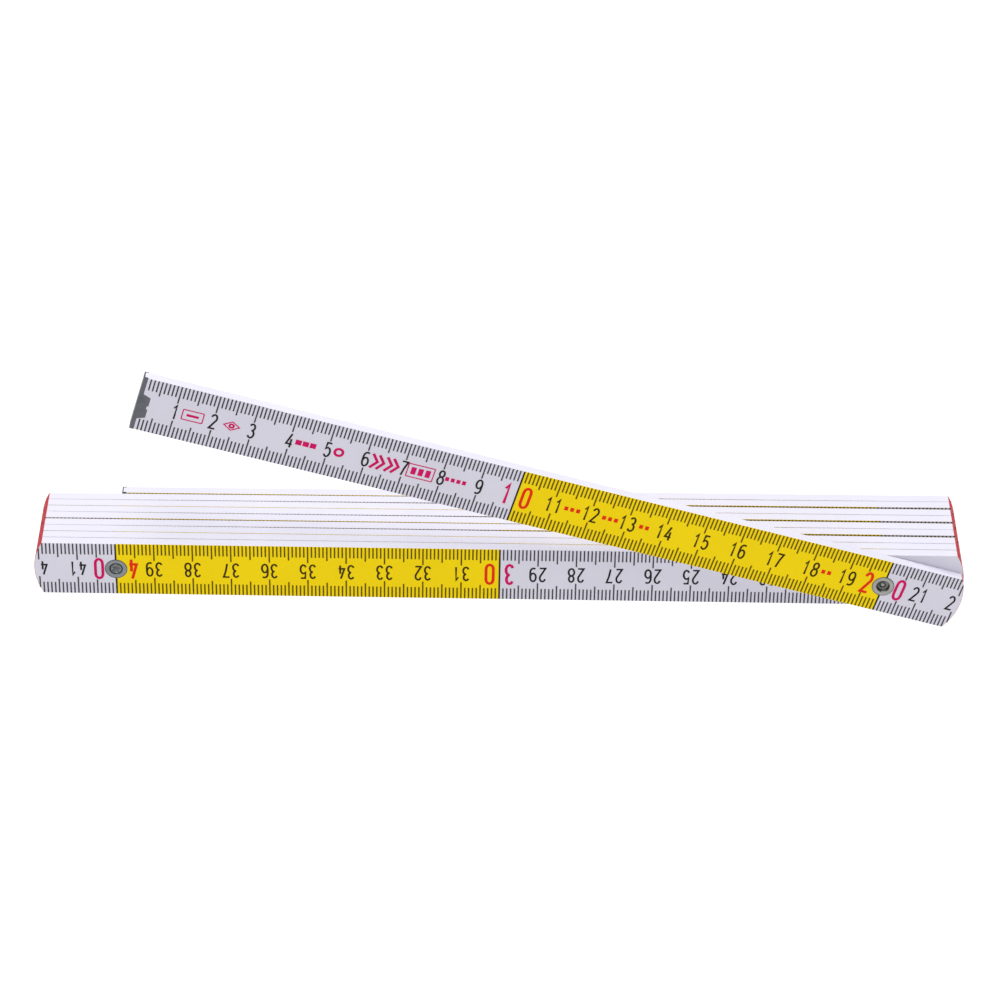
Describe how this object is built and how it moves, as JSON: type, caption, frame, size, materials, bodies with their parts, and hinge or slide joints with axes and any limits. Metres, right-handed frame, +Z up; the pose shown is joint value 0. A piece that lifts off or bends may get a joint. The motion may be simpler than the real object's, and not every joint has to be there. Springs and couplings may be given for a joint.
{
  "type": "folding rule",
  "caption": "White wooden folding rule with rounded link ends, riveted steel joints and steel end caps, folded up with its first link swung open.",
  "frame": {"origin": "middle of the rule's box, at its lowest point, with the folded stack standing on its narrow edges", "axes": "+X along the folded rule towards the first joint, +Y from the first link back to the last, +Z up across the links' width"},
  "size_m": [0.2426, 0.0308, 0.075],
  "materials": {
    "painted_wood": "white paint, satin",
    "rivet_steel": "nickel-plated steel, satin",
    "plate_steel": "bright rolled steel",
    "cap_steel": "dark grey steel, satin"
  },
  "bodies": {
    "link_1": {"link_1": "painted_wood", "front_plate_1": "plate_steel", "zero_end_cap": "cap_steel"},
    "link_2": {"link_2": "painted_wood", "rear_plate_1": "plate_steel", "rivet_1": "rivet_steel", "front_plate_2": "plate_steel", "rivet_2": "rivet_steel"},
    "link_3": {"link_3": "painted_wood", "rear_plate_2": "plate_steel", "front_plate_3": "plate_steel"},
    "link_4": {"link_4": "painted_wood", "rear_plate_3": "plate_steel", "rivet_3": "rivet_steel", "front_plate_4": "plate_steel", "rivet_4": "rivet_steel"},
    "link_5": {"link_5": "painted_wood", "rear_plate_4": "plate_steel", "front_plate_5": "plate_steel"},
    "link_6": {"link_6": "painted_wood", "rear_plate_5": "plate_steel", "rivet_5": "rivet_steel", "front_plate_6": "plate_steel", "rivet_6": "rivet_steel"},
    "link_7": {"link_7": "painted_wood", "rear_plate_6": "plate_steel", "front_plate_7": "plate_steel"},
    "link_8": {"link_8": "painted_wood", "rear_plate_7": "plate_steel", "rivet_7": "rivet_steel", "front_plate_8": "plate_steel", "rivet_8": "rivet_steel"},
    "link_9": {"link_9": "painted_wood", "rear_plate_8": "plate_steel", "front_plate_9": "plate_steel"},
    "link_10": {"link_10": "painted_wood", "rear_plate_9": "plate_steel", "rivet_9": "rivet_steel", "far_end_cap": "cap_steel"}
  },
  "joints": [
    {"name": "joint_1", "type": "hinge", "parent": "link_2", "child": "link_1", "pos_m": [0.09999, -0.01063, 0.01284], "axis": [0, 1, 0], "range_deg": [-15.8, 164.2]},
    {"name": "joint_2", "type": "hinge", "parent": "link_3", "child": "link_2", "pos_m": [-0.10001, -0.01063, 0.01284], "axis": [0, -1, 0], "range_deg": [0, 180]},
    {"name": "joint_3", "type": "hinge", "parent": "link_4", "child": "link_3", "pos_m": [0.09999, -0.00495, 0.01284], "axis": [0, 1, 0], "range_deg": [0, 180]},
    {"name": "joint_4", "type": "hinge", "parent": "link_5", "child": "link_4", "pos_m": [-0.10001, -0.00495, 0.01284], "axis": [0, -1, 0], "range_deg": [0, 180]},
    {"name": "joint_5", "type": "hinge", "parent": "link_6", "child": "link_5", "pos_m": [0.09999, 0.00135, 0.01284], "axis": [-0.0016, 1, 0], "range_deg": [0, 180]},
    {"name": "joint_6", "type": "hinge", "parent": "link_6", "child": "link_7", "pos_m": [-0.10001, 0.00103, 0.01284], "axis": [0.0016, -1, 0], "range_deg": [0, 180]},
    {"name": "joint_7", "type": "hinge", "parent": "link_7", "child": "link_8", "pos_m": [0.1, 0.00765, 0.01284], "axis": [-0.0047, 1, 0], "range_deg": [0, 180]},
    {"name": "joint_8", "type": "hinge", "parent": "link_8", "child": "link_9", "pos_m": [-0.1, 0.00671, 0.01284], "axis": [0.0047, -1, 0], "range_deg": [0, 180]},
    {"name": "joint_9", "type": "hinge", "parent": "link_9", "child": "link_10", "pos_m": [0.1, 0.01395, 0.01284], "axis": [-0.0063, 1, 0], "range_deg": [0, 180]}
  ]
}
